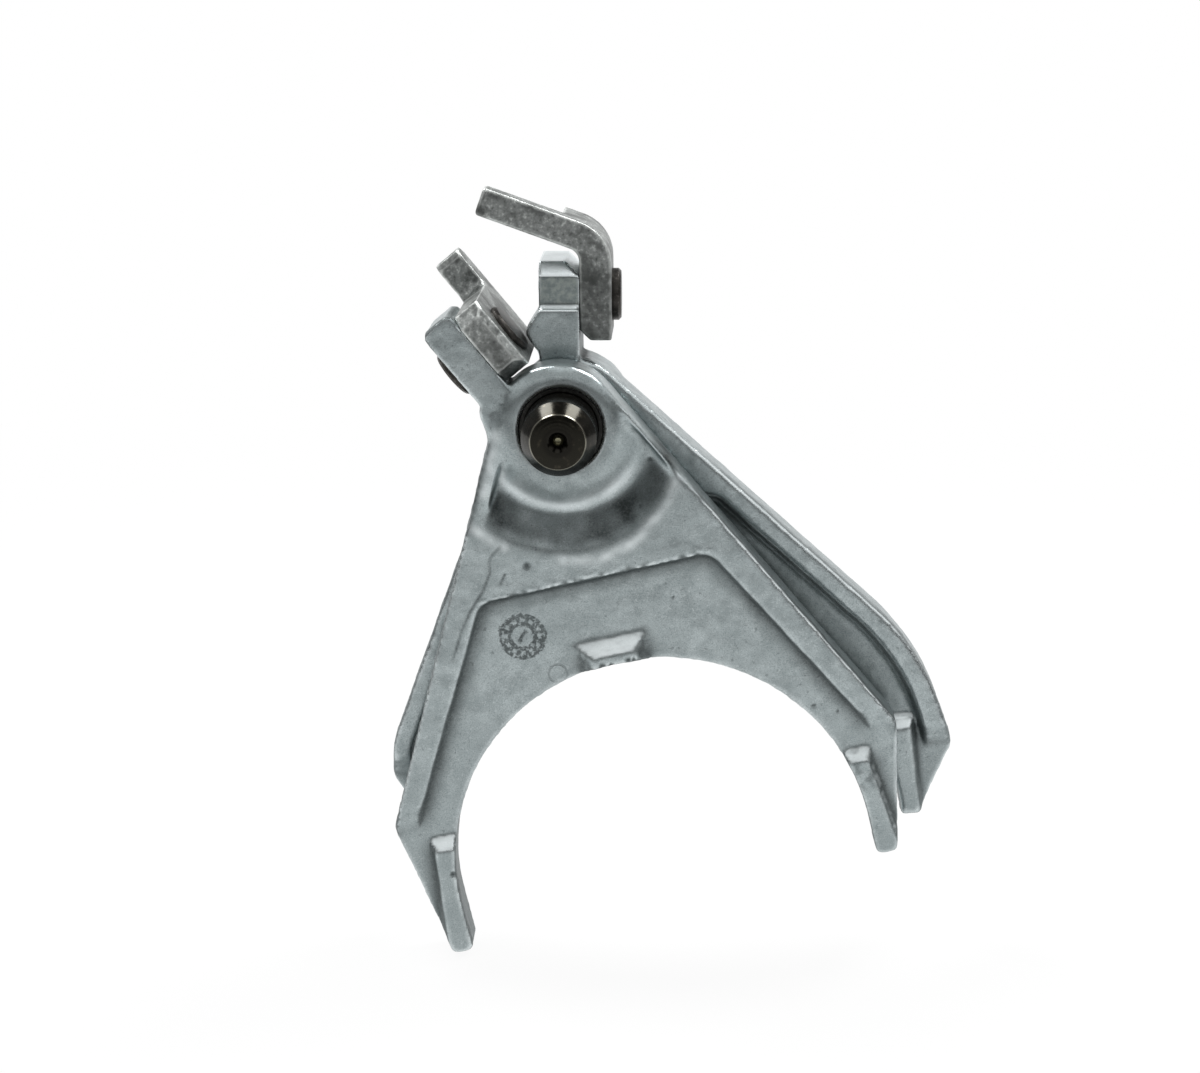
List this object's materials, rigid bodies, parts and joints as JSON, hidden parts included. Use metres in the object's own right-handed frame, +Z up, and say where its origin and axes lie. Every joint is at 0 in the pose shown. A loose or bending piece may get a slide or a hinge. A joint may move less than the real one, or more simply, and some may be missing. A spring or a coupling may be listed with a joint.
{
  "type": "shift fork",
  "caption": "Nested pair of die-cast gear shift forks sliding on a common steel rod, each with a steel selector finger riveted to its lug.",
  "frame": {"origin": "on the rod axis, where the lead cone at the rod's near end meets its plain part", "axes": "+Y along the rod, away from the camera side; +Z up from the rod, away from the jaws; +X right as seen from the near end"},
  "size_m": [0.1104, 0.0545, 0.1494],
  "materials": {
    "rod_steel": "dark oiled steel",
    "front_casting": "as-cast, matt",
    "rear_casting": "as-cast, matt",
    "bush_steel": "thin rolled lining",
    "finger_steel": "mottled, phosphated",
    "rivet_steel": "dark"
  },
  "bodies": {
    "rod": {"selector_rod": "rod_steel"},
    "front_fork_set": {"front_fork": "front_casting", "front_fork_bush": "bush_steel", "front_finger": "finger_steel", "front_finger_rivet": "rivet_steel"},
    "rear_fork_set": {"rear_fork": "rear_casting", "rear_fork_bush": "bush_steel", "rear_finger": "finger_steel", "rear_finger_rivet": "rivet_steel"}
  },
  "joints": [
    {"name": "front_fork_slide", "type": "slide", "parent": "rod", "child": "front_fork_set", "axis": [0, 1, 0], "range_m": [-0.004, 0]},
    {"name": "rear_fork_slide", "type": "slide", "parent": "rod", "child": "rear_fork_set", "axis": [0, 1, 0], "range_m": [0, 0.008]}
  ]
}
